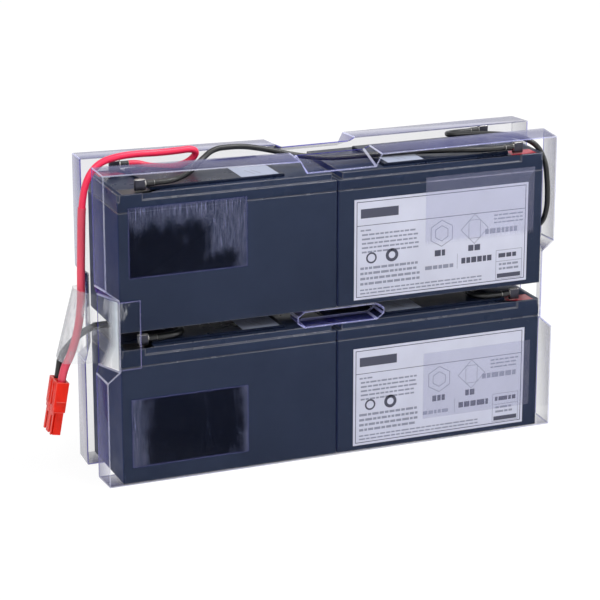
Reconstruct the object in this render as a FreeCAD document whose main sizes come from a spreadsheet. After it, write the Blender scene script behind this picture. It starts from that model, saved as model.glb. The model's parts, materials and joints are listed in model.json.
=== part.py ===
"""UPS battery cartridge: four sealed batteries between two clear thermoformed shells.

Frame: X along the long front, Y from front to back, Z up, origin at the bottom centre.
Sizes are in millimetres and live in the spreadsheet "Sizes".
"""
import FreeCAD, Part
import math
import os
import Sketcher
from FreeCAD import Placement, Rotation, Vector

DOC = FreeCAD.newDocument("ups_battery_cartridge")

SIZES = {
    # battery
    "battery_length": 151.0, "battery_width": 65.0, "case_height": 80.0, "case_corner": 1.5,
    "flange_height": 7.4, "lid_height": 12.0, "lid_step": 1.2, "lid_end_step": 3.3,
    "terminal_end": 16.8, "column_gap": 0.6, "row_gap": 9.6,
    # plate over the valves
    "cover_height": 2.0, "cover_start": 24.0, "cover_stop": 35.0, "cover_side": 6.0,
    "cover_edge": 0.6,
    # blade terminals in their potted wells
    "tab_inset": 17.0, "tab_side": 6.0, "blade_wide": 6.35, "blade_thick": 0.8,
    "blade_rise": 8.0, "well_start": 4.0, "well_length": 18.5, "well_side": 1.5,
    "well_width": 12.5, "well_depth": 2.0, "seal_below": 0.3,
    # flag receptacles
    "flag_wide": 7.6, "flag_thick": 3.0, "flag_high": 7.4, "barrel_length": 6.2,
    "barrel_radius": 2.2, "barrel_lap": 0.4, "flag_lift": 0.3, "flag_round": 1.2,
    "wire_level": 4.6,
    # shells
    "shell_wall": 0.8, "film_stack": 0.3, "tray_depth": 21.1, "bulge": 9.7, "draft": 1.1,
    "waist_fit": 0.1, "waist_flare": 8.2, "waist_low": 79.0, "waist_high": 126.8,
    "waist_bevel": 7.0, "head_room": 8.7, "corner_rise": 3.0, "notch_half": 24.4,
    "notch_bevel": 4.2, "notch_height": 199.0, "notch_flare": 7.2, "centre_shift": 2.4,
    "mitre": 0.5,
    "shell_corner": 2.2, "edge_share": 1.1, "base_trim": 0.2,
    # pocket between the rows
    "pocket_half": 30.5, "pocket_bevel": 4.5, "pocket_slope": 3.15, "pocket_depth": 15.0,
    "pocket_draft": 0.5,
    # printed and sticky films
    "label_thick": 0.15, "label_left": 11.8, "label_length": 128.5, "label_low": 3.4,
    "label_high": 69.2, "film_length": 81.0, "film_height": 47.0, "film_from_top": 44.0,
    "film_low_left": 10.8, "film_low_right": 16.0,
    "film_edge": 6.5, "sticker_length": 26.0, "sticker_width": 26.0, "sticker_inset": 38.5,
    "sticker_side": 7.0, "sticker_thick": 0.15,
    # leads
    "lead_radius": 2.3, "jumper_radius": 1.85, "sleeve_radius": 2.7, "sleeve_fit": 0.05,
    # connector
    "housing_side": 8.6, "housing_length": 36.0, "housing_body": 17.5, "housing_step": 0.8,
    "housing_band": 3.0, "housing_lean": 10.3, "mouth_side": 5.6, "mouth_depth": 4.0,
    "hood_wall": 1.3, "hood_slot": 3.6, "tongue_thick": 2.4, "contact_thick": 1.2,
    "contact_wide": 4.6, "hood_root": 2.0, "slot_root": 1.0, "tongue_back": 1.5,
    "contact_back": 3.0, "sleeve_gap": 0.3,
    # tape
    "tape_thick": 0.25, "tape_low": 79.8, "tape_high": 126.0, "tape_front": 14.5,
    "tape_fit": 0.15, "tape_inset": 1.0, "tape_bow": 1.5, "tape_rear": 4.2,
}

SHEET = DOC.addObject("Spreadsheet::Sheet", "Sizes")
for row, (alias, value) in enumerate(SIZES.items(), start=1):
    SHEET.set(f"A{row}", str(value))
    SHEET.setAlias(f"A{row}", alias)
DOC.recompute()


def named(text):
    """Turn bare aliases in a formula into references to the sheet."""
    words = []
    for word in text.replace("(", " ( ").replace(")", " ) ").split():
        words.append(f"Sizes.{word}" if word in SIZES else word)
    return " ".join(words)


def value(text):
    """The number that a formula of aliases gives."""
    return float(SHEET.evalExpression(named(text)))


def place(obj, where, turn=0.0):
    """Put an object at a point given by three formulas, turned about Z."""
    obj.Placement = Placement(Vector(), Rotation(Vector(0, 0, 1), turn))
    for axis, text in zip("xyz", where):
        obj.setExpression(f"Placement.Base.{axis}", named(text))


# formulas that several pieces share
LID_TOP = "( case_height + lid_height )"
BATTERY_TOP = f"( {LID_TOP} + cover_height )"
ROW_PITCH = f"( {BATTERY_TOP} + row_gap )"
FRONT_FACE = "( 0 - battery_width / 2 )"
SHELL_FRONT = "( 0 - battery_width / 2 - film_stack - shell_wall )"
HALF_BLOCK = "( battery_length + column_gap / 2 )"
WAIST_HALF = f"( {HALF_BLOCK} + waist_fit + shell_wall )"
BULGE_HALF = f"( {HALF_BLOCK} + bulge )"
SHELL_TOP = f"( shell_wall + {ROW_PITCH} + {BATTERY_TOP} + head_room )"
POCKET_LOW = f"( shell_wall + {LID_TOP} + 0.1 )"
POCKET_HIGH = f"( shell_wall + {ROW_PITCH} )"


def sketch(body, name, role, level, corners):
    """A closed polygon whose corners are pairs of formulas, on an origin plane."""
    drawing = body.newObject("Sketcher::SketchObject", name)
    plane = [f for f in body.Origin.OriginFeatures if f.Role == role][0]
    drawing.AttachmentSupport = (plane, [""])
    drawing.MapMode = "FlatFace"
    drawing.setExpression("AttachmentOffset.Base.z", named(level))
    points = [Vector(value(x), value(y), 0) for x, y in corners]
    count = len(points)
    for i in range(count):
        drawing.addGeometry(Part.LineSegment(points[i], points[(i + 1) % count]), False)
    for i in range(count):
        drawing.addConstraint(Sketcher.Constraint("Coincident", i, 2, (i + 1) % count, 1))
    for i, (x, y) in enumerate(corners):
        for kind, text, now in (("DistanceX", x, points[i].x), ("DistanceY", y, points[i].y)):
            index = drawing.addConstraint(Sketcher.Constraint(kind, -1, 1, i, 1, now))
            drawing.setExpression(f"Constraints[{index}]", named(text))
    return drawing


def rectangle(x_low, x_high, y_low, y_high):
    """Corners of a rectangle, as formulas."""
    return [(x_low, y_low), (x_high, y_low), (x_high, y_high), (x_low, y_high)]


def pad(body, name, drawing, length, kind="PartDesign::Pad", backwards=False):
    """Raise a sketch by a length, or cut it in with kind Pocket."""
    feature = body.newObject(kind, name)
    feature.Profile = drawing
    feature.Reversed = backwards
    feature.setExpression("Length", named(length))
    return feature


def dress(body, name, base, radius, wanted, kind="PartDesign::Fillet", measure="Radius"):
    """Round or bevel the edges of a feature that a test picks."""
    DOC.recompute()
    picked = [f"Edge{i}" for i, edge in enumerate(base.Shape.Edges, start=1) if wanted(edge)]
    feature = body.newObject(kind, name)
    feature.Base = (base, picked)
    feature.setExpression(measure, named(radius))
    return feature


def upright(edge):
    """True for a straight edge along Z."""
    ends = [vertex.Point for vertex in edge.Vertexes]
    return len(ends) == 2 and (ends[0] - ends[1]).cross(Vector(0, 0, 1)).Length < 1e-6


def new_body(label):
    body = DOC.addObject("PartDesign::Body", label)
    body.Label = label
    NODES.append(body)
    return body


def new_feature(label, shape, placement=None):
    """A sub-part whose shape is worked out here from the sheet's sizes."""
    feature = DOC.addObject("Part::Feature", label)
    feature.Label = label
    feature.Shape = shape
    feature.Placement = placement or Placement()
    NODES.append(feature)
    return feature


def new_box(label, sizes, where, turn=0.0):
    """A plain block, its three sizes and its corner given as formulas."""
    block = DOC.addObject("Part::Box", label)
    block.Label = label
    for side, text in zip(("Length", "Width", "Height"), sizes):
        block.setExpression(side, named(text))
    place(block, where, turn)
    NODES.append(block)
    return block


NODES = []


# ---------------------------------------------------------------- batteries
# Local frame: centre of the battery's bottom, terminals at the -X end,
# negative at -Y and positive at +Y. Left batteries stand so; right ones are turned.
HALF_LONG = "battery_length / 2"
HALF_WIDE = "battery_width / 2"


def battery_case(label, where, turn):
    body = new_body(label)
    floor = sketch(body, f"{label}_floor", "XY_Plane", "0",
                   rectangle(f"0 - {HALF_LONG}", HALF_LONG, f"0 - {HALF_WIDE}", HALF_WIDE))
    walls = pad(body, f"{label}_walls", floor, "case_height")
    dress(body, f"{label}_corners", walls, "case_corner", upright)
    place(body, where, turn)


def battery_lid(label, where, turn):
    """Flange over the case, then a block set back at both sides and at the inner end."""
    body = new_body(label)
    flange = sketch(body, f"{label}_flange", "XY_Plane", "case_height",
                    rectangle(f"0 - {HALF_LONG}", HALF_LONG, f"0 - {HALF_WIDE}", HALF_WIDE))
    base = pad(body, f"{label}_base", flange, "flange_height")
    dress(body, f"{label}_corners", base, "case_corner", upright)
    start = f"0 - {HALF_LONG} + terminal_end"
    low, high = f"0 - {HALF_WIDE}", HALF_WIDE
    far = f"{HALF_LONG} - lid_end_step"
    block = sketch(body, f"{label}_outline", "XY_Plane", "case_height + flange_height", [
        (f"0 - {HALF_LONG} + case_corner", low), (start, low), (start, f"{low} + lid_step"),
        (far, f"{low} + lid_step"), (far, f"{high} - lid_step"), (start, f"{high} - lid_step"),
        (start, high), (f"0 - {HALF_LONG} + case_corner", high),
        (f"0 - {HALF_LONG}", f"{high} - case_corner"), (f"0 - {HALF_LONG}", f"{low} + case_corner")])
    pad(body, f"{label}_block", block, "lid_height - flange_height")
    for side, sign in (("negative", "0 -"), ("positive", "0 +")):
        outer = f"{sign} ( {HALF_WIDE} - well_side )"
        inner = f"{sign} ( {HALF_WIDE} - well_side - well_width )"
        near = f"0 - {HALF_LONG} + well_start"
        well = sketch(body, f"{label}_{side}_well", "XY_Plane", LID_TOP,
                      rectangle(near, f"{near} + well_length", *sorted((outer, inner), key=value)))
        pad(body, f"{label}_{side}_recess", well, "well_depth", "PartDesign::Pocket")
    place(body, where, turn)


def vent_cover(label, where, turn):
    body = new_body(label)
    outline = sketch(body, f"{label}_outline", "XY_Plane", LID_TOP,
                     rectangle(f"0 - {HALF_LONG} + cover_start", f"{HALF_LONG} - cover_stop",
                               f"0 - {HALF_WIDE} + cover_side", f"{HALF_WIDE} - cover_side"))
    plate = pad(body, f"{label}_plate", outline, "cover_height")
    top = value(BATTERY_TOP)
    dress(body, f"{label}_edge", plate, "cover_edge",
           lambda edge: all(abs(v.Point.z - top) < 1e-6 for v in edge.Vertexes))
    place(body, where, turn)


def local_box(label, low, sizes, where, turn):
    """A block given in a battery's local frame by its low corner and its sizes."""
    cell = new_box(label, sizes, ("0", "0", "0"), turn)
    sign = "-" if turn else "+"
    place(cell, (f"{where[0]} {sign} ( {low[0]} )", f"{where[1]} {sign} ( {low[1]} )",
                 f"{where[2]} + {low[2]}"), turn)
    return cell


def terminal_parts(name, where, turn):
    """Blade and flag receptacle of both terminals of one battery."""
    for side, sign in (("negative", "-"), ("positive", "+")):
        centre_x = f"( tab_inset - {HALF_LONG} )"
        centre_y = f"( 0 {sign} ( {HALF_WIDE} - tab_side ) )"
        bottom = f"( {LID_TOP} - well_depth )"
        local_box(f"{side}_tab_{name}",
                  (f"{centre_x} - blade_wide / 2", f"{centre_y} - blade_thick / 2", bottom),
                  ("blade_wide", "blade_thick", "blade_rise + well_depth"), where, turn)
        receptacle(f"{side}_receptacle_{name}", centre_x, centre_y, where, turn)


def receptacle(label, centre_x, centre_y, where, turn):
    """Folded flag on the blade, with the crimp barrel that holds the lead."""
    level = value(f"{LID_TOP} + wire_level")
    middle = Vector(value(centre_x), value(centre_y), 0)
    wide, thick, high = value("flag_wide"), value("flag_thick"), value("flag_high")
    bottom = value(f"{LID_TOP} + flag_lift")
    flag = Part.makeBox(wide, thick, high, Vector(middle.x - wide / 2, middle.y - thick / 2, bottom))
    flag = flag.makeFillet(value("flag_round"), [edge for edge in flag.Edges if upright(edge)])
    blade = Part.makeBox(value("blade_wide"), value("blade_thick"), high,
                         Vector(middle.x - value("blade_wide") / 2,
                                middle.y - value("blade_thick") / 2, bottom))
    barrel = Part.makeCylinder(value("barrel_radius"), value("barrel_length"),
                               Vector(middle.x + wide / 2 - value("barrel_lap"), middle.y, level),
                               Vector(1, 0, 0))
    shape = flag.fuse(barrel).cut(blade).removeSplitter()
    new_feature(label, shape, Placement(Vector(*[value(text) for text in where]),
                                        Rotation(Vector(0, 0, 1), turn)))


def terminal_seals(label, side_sign):
    """Potting round the four blades of one polarity, as four separate solids."""
    pools = []
    for name, where, turn in BATTERIES:
        low_x = value(f"well_start - {HALF_LONG}")
        centre_y = side_sign * value(f"{HALF_WIDE} - well_side - well_width / 2")
        bottom = value(f"{LID_TOP} - well_depth")
        pool = Part.makeBox(value("well_length"), value("well_width"),
                            value("well_depth - seal_below"),
                            Vector(low_x, centre_y - value("well_width") / 2, bottom))
        blade_y = side_sign * value(f"{HALF_WIDE} - tab_side")
        blade = Part.makeBox(value("blade_wide"), value("blade_thick"), value("well_depth"),
                             Vector(value(f"tab_inset - {HALF_LONG} - blade_wide / 2"),
                                    blade_y - value("blade_thick") / 2, bottom))
        pool = pool.cut(blade)
        pool.Placement = Placement(Vector(*[value(text) for text in where]),
                                   Rotation(Vector(0, 0, 1), turn))
        pools.append(pool)
    new_feature(label, Part.makeCompound(pools))


COLUMN = f"( {HALF_LONG} + column_gap / 2 )"
BATTERIES = [
    ("upper_left", (f"0 - {COLUMN}", "0", f"shell_wall + {ROW_PITCH}"), 0.0),
    ("upper_right", (COLUMN, "0", f"shell_wall + {ROW_PITCH}"), 180.0),
    ("lower_left", (f"0 - {COLUMN}", "0", "shell_wall"), 0.0),
    ("lower_right", (COLUMN, "0", "shell_wall"), 180.0),
]
for name, where, turn in BATTERIES:
    battery_case(f"battery_case_{name}", where, turn)
    battery_lid(f"battery_lid_{name}", where, turn)
    vent_cover(f"vent_cover_{name}", where, turn)
    terminal_parts(name, where, turn)
    # the sticker lies near the inner end of the cover, at the cartridge's front
    front = f"0 - {HALF_WIDE} + sticker_side"
    back = f"{HALF_WIDE} - sticker_side - sticker_width"
    local_box(f"lid_sticker_{name}",
              (f"{HALF_LONG} - sticker_inset - sticker_length", back if turn else front, BATTERY_TOP),
              ("sticker_length", "sticker_width", "sticker_thick"), where, turn)
terminal_seals("negative_seals", -1)
terminal_seals("positive_seals", 1)


# ---------------------------------------------------------------- shells
def shell_outline(rise_side, flare, inset):
    """Corners of a tray's outline, anticlockwise seen from its face.

    flare is 0 at the face and 1 at the rim; inset is 0 outside and 1 inside the wall.
    """
    wall = f"( {inset} * shell_wall )"
    shift = f"( {inset} * shell_wall * mitre )"
    bulge_x = f"( {BULGE_HALF} + {flare} * draft - {wall} )"
    waist_x = f"( {WAIST_HALF} + {flare} * waist_flare - {wall} )"
    top = f"( {SHELL_TOP} + {flare} * draft - {wall} )"
    notch_z = f"( notch_height + {flare} * notch_flare - {wall} )"
    base = f"( {wall} - ( 1 - {inset} ) * base_trim )"
    low_out = f"( waist_low - waist_bevel + {flare} * draft - {shift} )"
    low_in = f"( waist_low - {shift} )"
    high_in = f"( waist_high + {shift} )"
    high_out = f"( waist_high + waist_bevel - {flare} * draft + {shift} )"
    notch_out = f"( notch_half + notch_bevel + {shift} )"
    notch_in = f"( notch_half + {shift} )"

    def half(rise):
        crown = f"( {top} + {rise} )"
        return [(f"( {bulge_x} - shell_corner )", base), (bulge_x, f"( {base} + shell_corner )"),
                (bulge_x, low_out), (waist_x, low_in), (waist_x, high_in), (bulge_x, high_out),
                (bulge_x, f"( {crown} - shell_corner )"), (f"( {bulge_x} - shell_corner )", crown),
                (notch_out, top), (notch_in, notch_z)]

    def moved(corners, sign):
        """The notch's two corners move along X with the trays' shared offset."""
        shift = f"( {-rise_side} * centre_shift )"
        return corners[:-2] + [(f"( {x} {sign} {shift} )", z) for x, z in corners[-2:]]

    right = moved(half("corner_rise" if rise_side > 0 else "0"), "+")
    left = [(f"0 - {x}", z)
            for x, z in reversed(moved(half("corner_rise" if rise_side < 0 else "0"), "-"))]
    return right + left


def pocket_outline(rise_side, depth_share, outset):
    """Long octagon of the pocket; depth_share is 0 at the mouth and 1 at its bottom."""
    shrink = f"( {depth_share} * pocket_draft - {outset} * shell_wall )"
    half = f"( pocket_half - {depth_share} * pocket_draft + {outset} * shell_wall )"
    inner = f"( pocket_half - pocket_bevel - {depth_share} * pocket_draft + {outset} * shell_wall / 2 )"
    low = f"( {POCKET_LOW} + shell_wall + {shrink} )"
    high = f"( {POCKET_HIGH} - shell_wall - {shrink} )"
    low_cut = f"( {low} + pocket_slope )"
    high_cut = f"( {high} - pocket_slope )"
    corners = [(inner, low), (half, low_cut), (half, high_cut), (inner, high),
               (f"0 - {inner}", high), (f"0 - {half}", high_cut), (f"0 - {half}", low_cut),
               (f"0 - {inner}", low)]
    return [(f"( {x} ) + ( {-rise_side} * centre_shift )", z) for x, z in corners]


def loft(body, name, sections, kind):
    """A ruled loft through sketches on XZ planes; sections are (y formula, corners)."""
    drawings = [sketch(body, f"{name}_{i}", "XZ_Plane", f"0 - ( {level} )", corners)
                for i, (level, corners) in enumerate(sections)]
    feature = body.newObject(kind, name)
    feature.Profile = drawings[0]
    feature.Sections = drawings[1:]
    feature.Ruled = True
    return feature


def tray(label, rise_side, turn):
    """Thermoformed tray: bulged sides, flared waists, top notch and the row pocket."""
    body = new_body(label)
    face = SHELL_FRONT
    rim = f"( {SHELL_FRONT} + tray_depth )"
    loft(body, f"{label}_skin", [(face, shell_outline(rise_side, "0", "edge_share")),
                                 (f"{face} + shell_wall * edge_share", shell_outline(rise_side, "0", "0")),
                                 (rim, shell_outline(rise_side, "1", "0"))],
         "PartDesign::AdditiveLoft")
    inside = f"( {SHELL_FRONT} + shell_wall )"
    loft(body, f"{label}_hollow", [(inside, shell_outline(rise_side, "0", "1")),
                                   (rim, shell_outline(rise_side, "1", "1"))],
         "PartDesign::SubtractiveLoft")
    deep = f"( {SHELL_FRONT} + pocket_depth )"
    loft(body, f"{label}_pocket", [(face, pocket_outline(rise_side, "0", "1")),
                                   (f"{deep} + shell_wall", pocket_outline(rise_side, "1", "1"))],
         "PartDesign::AdditiveLoft")
    loft(body, f"{label}_pocket_hollow", [(face, pocket_outline(rise_side, "0", "0")),
                                          (deep, pocket_outline(rise_side, "1", "0"))],
         "PartDesign::SubtractiveLoft")
    under = sketch(body, f"{label}_under", "XY_Plane", "0",
                   rectangle(f"0 - 1.1 * {BULGE_HALF}", f"1.1 * {BULGE_HALF}", f"2 * {SHELL_FRONT}",
                             "tray_depth"))
    pad(body, f"{label}_base", under, "shell_wall", "PartDesign::Pocket")
    place(body, ("0", "0", "0"), turn)


tray("front_shell", -1, 0.0)
tray("rear_shell", 1, 180.0)


# ---------------------------------------------------------------- films and labels
def front_film(label, x_low, length, z_low, height, thick):
    """A thin sheet on the front face of the batteries."""
    return new_box(label, (length, thick, height),
                   (x_low, f"{FRONT_FACE} - {thick}", z_low))


for row, base in (("upper", f"shell_wall + {ROW_PITCH}"), ("lower", "shell_wall")):
    front_film(f"front_label_{row}", "label_left", "label_length", f"{base} + label_low",
               "label_high", "label_thick")


def adhesive_sheet(x_low, z_low, front_sign):
    """Clear double-sided film that fills the space between a shell and a battery."""
    near = value(f"{HALF_WIDE}") * front_sign
    far = near + front_sign * value("film_stack")
    return Part.makeBox(value("film_length"), value("film_stack"), value("film_height"),
                        Vector(x_low, min(near, far), z_low))


DOC.recompute()
REAR_FILMS = []
for row, base in (("upper", value(f"shell_wall + {ROW_PITCH}")), ("lower", value("shell_wall"))):
    for column, side in (("left", -1), ("right", 1)):
        outer = value(f"{HALF_BLOCK} - film_edge")
        x_low = -outer if side < 0 else outer - value("film_length")
        lift = value("case_height - film_from_top" if row == "upper" else f"film_low_{column}")
        sheet_shape = adhesive_sheet(x_low, base + lift, -1)
        if side > 0:
            sheet_shape = sheet_shape.cut(DOC.getObject(f"front_label_{row}").Shape)
        new_feature(f"adhesive_{row}_{column}", sheet_shape)
        REAR_FILMS.append(adhesive_sheet(x_low, base + lift, 1))
new_feature("rear_adhesive", Part.makeCompound(REAR_FILMS))


# ---------------------------------------------------------------- leads
def rounded_path(points):
    """Straight runs joined by tangent arcs, as large as the runs allow."""
    points = [Vector(*point) for point in points]
    edges, radii = [], []
    start = points[0]
    for i in range(1, len(points) - 1):
        back, ahead = points[i - 1] - points[i], points[i + 1] - points[i]
        turn = math.pi - back.getAngle(ahead)
        shorter = min(back.Length, ahead.Length)
        radius = 0.45 * shorter / math.tan(turn / 2)
        radii.append(radius)
        reach = 0.45 * shorter
        back.normalize()
        ahead.normalize()
        enter, leave = points[i] + back * reach, points[i] + ahead * reach
        bisector = back + ahead
        bisector.normalize()
        middle = points[i] + bisector * (radius / math.cos(turn / 2) - radius)
        edges.append(Part.LineSegment(start, enter).toShape())
        edges.append(Part.Arc(enter, middle, leave).toShape())
        start = leave
    edges.append(Part.LineSegment(start, points[-1]).toShape())
    return Part.Wire(edges), radii


def tube(points, radius, label=""):
    """A round tube along a route, its volume checked against section times length."""
    path, radii = rounded_path(points)
    first, second = Vector(*points[0]), Vector(*points[1])
    ring = Part.Wire(Part.makeCircle(radius, first, second - first))
    solid = path.makePipeShell([ring], True, False)
    expected = math.pi * radius ** 2 * path.Length
    if abs(solid.Volume / expected - 1) > 0.01:
        raise ValueError(f"{label}: tube volume {solid.Volume:.1f}, expected {expected:.1f}")
    if label:
        print(f"{label}: length {path.Length:.0f}, radii " + " ".join(f"{r:.1f}" for r in radii))
    return solid


LEAD = value("lead_radius")
JUMPER = value("jumper_radius")
BARREL_END = value(f"{HALF_BLOCK} - tab_inset - flag_wide / 2 + barrel_lap - barrel_length")
FRONT_TAB = value(f"tab_side - {HALF_WIDE}")
REAR_TAB = -FRONT_TAB
LOW = value(f"shell_wall + {LID_TOP} + wire_level")
HIGH = LOW + value(ROW_PITCH)

# routes start from the barrels' ends (NEAR) and from the block's ends (OUT)
NEAR = BARREL_END
OUT = value(HALF_BLOCK)

# upper left negative, over the front shell's rim, to upper right positive
new_feature("top_jumper", tube([
    (-NEAR, FRONT_TAB, HIGH), (-NEAR + 11.7, FRONT_TAB, HIGH), (-NEAR + 26.2, -19, HIGH + 1.6),
    (-NEAR + 36.9, -8, HIGH + 5.6), (-NEAR + 48.5, -3.8, HIGH + 12.6), (-0.45 * NEAR, -3.5, HIGH + 12.6),
    (-0.305 * NEAR, -4.5, HIGH + 8.6), (-0.16 * NEAR, -7, HIGH + 3.6), (0.03 * NEAR, -9, HIGH - 0.2),
    (0.27 * NEAR, -9.6, HIGH - 0.4), (0.497 * NEAR, -13, HIGH), (0.69 * NEAR, -21, HIGH + 0.6),
    (NEAR - 16.7, FRONT_TAB, HIGH), (NEAR, FRONT_TAB, HIGH)], JUMPER, "top_jumper"))
# upper right negative, hairpin, down inside the right bulge, to lower right positive
new_feature("right_jumper", tube([
    (NEAR, REAR_TAB, HIGH), (NEAR - 12.7, REAR_TAB, HIGH), (NEAR - 21.5, 20.5, HIGH + 1.2),
    (NEAR - 22.2, 11.5, HIGH + 2.4), (NEAR - 13.5, 5, HIGH + 3.6), (OUT - 24.3, -1.6, HIGH + 4.0),
    (OUT - 8, -12.8, HIGH + 3.4), (OUT + 1.8, -20.8, HIGH - 2.4), (OUT + 5.6, -25.5, HIGH - 14),
    (OUT + 6.6, -27.2, HIGH - 30), (OUT + 6.6, -27.6, HIGH - 44), (OUT + 5.6, -24.5, HIGH - 55),
    (OUT + 4.3, -12.5, HIGH - 64), (OUT + 3.7, -2.0, HIGH - 76), (OUT + 3.9, 1.8, LOW + 6.6),
    (OUT - 1.8, 2.4, LOW + 0.5), (OUT - 18.3, 1.5, LOW), (OUT - 33.3, -1.5, LOW),
    (NEAR - 18.2, -9.5, LOW), (NEAR - 19.7, -20, LOW), (NEAR - 12.2, FRONT_TAB, LOW),
    (NEAR, FRONT_TAB, LOW)], JUMPER, "right_jumper"))
# lower right negative, between the rows in front of the rear pocket, to lower left positive
new_feature("rear_jumper", tube([
    (NEAR, REAR_TAB, LOW), (NEAR - 18.7, REAR_TAB, LOW), (0.61 * NEAR, 20.6, LOW + 0.2),
    (0.353 * NEAR, 12, LOW + 0.4), (0.112 * NEAR, 10, LOW), (-0.128 * NEAR, 10.3, LOW),
    (-0.369 * NEAR, 12.3, LOW + 0.2), (-0.625 * NEAR, 19.5, LOW), (-NEAR + 18.7, REAR_TAB, LOW),
    (-NEAR, REAR_TAB, LOW)], JUMPER, "rear_jumper"))

# the connector's mouth and lean; both free leads end there
LEAN = math.radians(value("housing_lean"))
DOWN = Vector(-math.sin(LEAN), 0, -math.cos(LEAN))
MOUTH = Vector(-OUT - 31.4, 1.9, LOW - 30.4)
RED_Y = MOUTH.y - value("housing_side") / 2
BLACK_Y = MOUTH.y + value("housing_side") / 2
SEAT = value("mouth_depth")


def above_mouth(y, height):
    """A point on a housing's own axis, this far above its mouth."""
    point = MOUTH - DOWN * height
    return (point.x, y, point.z)


SLEEVE_ROUTE = [
    (-OUT - 14.7, 5.2, HIGH - 18), (-OUT - 15.3, 6.2, HIGH - 42), (-OUT - 14.7, 7.0, HIGH - 65),
    (-OUT - 15.3, 5.4, LOW + 17.6), (-OUT - 19.7, 1.8, LOW + 1.1), (-OUT - 26.7, -1.6, LOW - 13.9),
    above_mouth(RED_Y, 8.0), above_mouth(RED_Y, -SEAT)]
RED_ROUTE = [
    (-NEAR, REAR_TAB, HIGH), (-NEAR + 12.7, REAR_TAB, HIGH), (-NEAR + 24.2, 20.5, HIGH + 0.8),
    (-NEAR + 33.2, 15.3, HIGH + 1.8), (-NEAR + 42.0, 9.9, HIGH + 2.9), (-NEAR + 44.5, 7.8, HIGH + 8.2),
    (-NEAR + 40.5, 5.4, HIGH + 13.2), (-NEAR + 28.7, 5.8, HIGH + 12.2),
    (-NEAR + 13.2, 6.0, HIGH + 12.0), (-OUT + 25.3, 5.8, HIGH + 12.9), (-OUT + 10.8, 5.5, HIGH + 12.7),
    (-OUT - 2.7, 5.2, HIGH + 9.8), (-OUT - 11.0, 5.0, HIGH - 0.2)] + SLEEVE_ROUTE
BLACK_ROUTE = [
    (-NEAR, FRONT_TAB, LOW), (-NEAR + 12.2, FRONT_TAB, LOW), (-NEAR + 20.2, -19.5, LOW),
    (-NEAR + 20.2, -8, LOW), (-NEAR + 13.7, 2, LOW), (-OUT + 27.3, 8.2, LOW),
    (-OUT + 11.3, 10.2, LOW + 0.3), (-OUT - 3.7, 10.0, LOW + 0.8), (-OUT - 13.2, 9.4, LOW - 3.2),
    (-OUT - 21.7, 8.0, LOW - 10.2), (-OUT - 28.1, 6.8, LOW - 16.8), above_mouth(BLACK_Y, 7.0),
    above_mouth(BLACK_Y, -SEAT)]

new_feature("red_lead", tube(RED_ROUTE, LEAD, "red_lead"))
new_feature("black_lead", tube(BLACK_ROUTE, LEAD, "black_lead"))


def sleeve(route, whole_route):
    """Shrink sleeve over the lower part of the red lead, open at both ends."""
    outer = tube(whole_route, value("sleeve_radius"))
    bore = tube(whole_route, LEAD + value("sleeve_fit"))
    shell = outer.cut(bore)
    size = 400.0
    top = route[0][2] - 1.0
    below = Part.makeBox(size, size, top, Vector(-size, -size / 2, 0))
    end = MOUTH - DOWN * value("sleeve_gap")
    lid = Part.makeBox(size, size, size, Vector(-size / 2, -size / 2, 0))
    lid.Placement = Placement(end, Rotation(Vector(0, 0, 1), -DOWN))
    return shell.common(below).common(lid)


new_feature("red_lead_sleeve", sleeve(SLEEVE_ROUTE, RED_ROUTE))


# ---------------------------------------------------------------- connector
def housing(label, y_centre, hand):
    """Genderless housing: square body, raised band, hood and tongue; its mouth holds a lead."""
    side = value("housing_side")
    step = value("housing_step")
    length, body_length = value("housing_length"), value("housing_body")
    half = side / 2
    body = Part.makeBox(side, side, body_length, Vector(-half, -half, 0))
    band = Part.makeBox(side, side, value("housing_band"), Vector(-half, -half, body_length))
    band = band.cut(Part.makeBox(step / 2, side, value("housing_band"),
                                 Vector(half - step / 2, -half, body_length)))
    neck = Part.makeBox(side - 2 * step, side - step / 2, length - body_length,
                        Vector(-half + step, -half + (step / 2 if hand > 0 else 0), body_length))
    wall, slot = value("hood_wall"), value("hood_slot")
    hollow_top = body_length + value("housing_band") + value("hood_root")
    hollow = Part.makeBox(side - 2 * step - 2 * wall, side - step / 2 - 2 * wall, length,
                          Vector(-half + step + wall, -half + wall + (step / 2 if hand > 0 else 0),
                                 hollow_top))
    tongue = Part.makeBox(value("tongue_thick"), side - step / 2 - 2 * wall,
                          length - hollow_top - value("tongue_back"),
                          Vector(-half + step + wall, -half + wall + (step / 2 if hand > 0 else 0),
                                 hollow_top))
    gap = Part.makeBox(side, slot, length, Vector(0, -slot / 2, hollow_top + value("slot_root")))
    mouth_side = value("mouth_side")
    mouth = Part.makeBox(mouth_side, mouth_side, value("mouth_depth"),
                         Vector(-mouth_side / 2, -mouth_side / 2, 0))
    plug = body.fuse(band).fuse(neck).cut(hollow).cut(gap).fuse(tongue).cut(mouth)
    plug = plug.removeSplitter()
    seat = Placement(Vector(MOUTH.x, y_centre, MOUTH.z), Rotation(Vector(0, 0, 1), DOWN))
    new_feature(label, plug, seat)
    contact = Part.makeBox(value("contact_thick"), value("contact_wide"),
                           length - hollow_top - value("contact_back"),
                           Vector(-half + step + wall + value("tongue_thick"),
                                  -value("contact_wide") / 2 + (step / 4 if hand > 0 else -step / 4),
                                  hollow_top))
    new_feature(label.replace("housing", "contact"), contact, seat)


housing("connector_housing_red_lead", RED_Y, 1)
housing("connector_housing_black_lead", BLACK_Y, -1)


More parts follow.
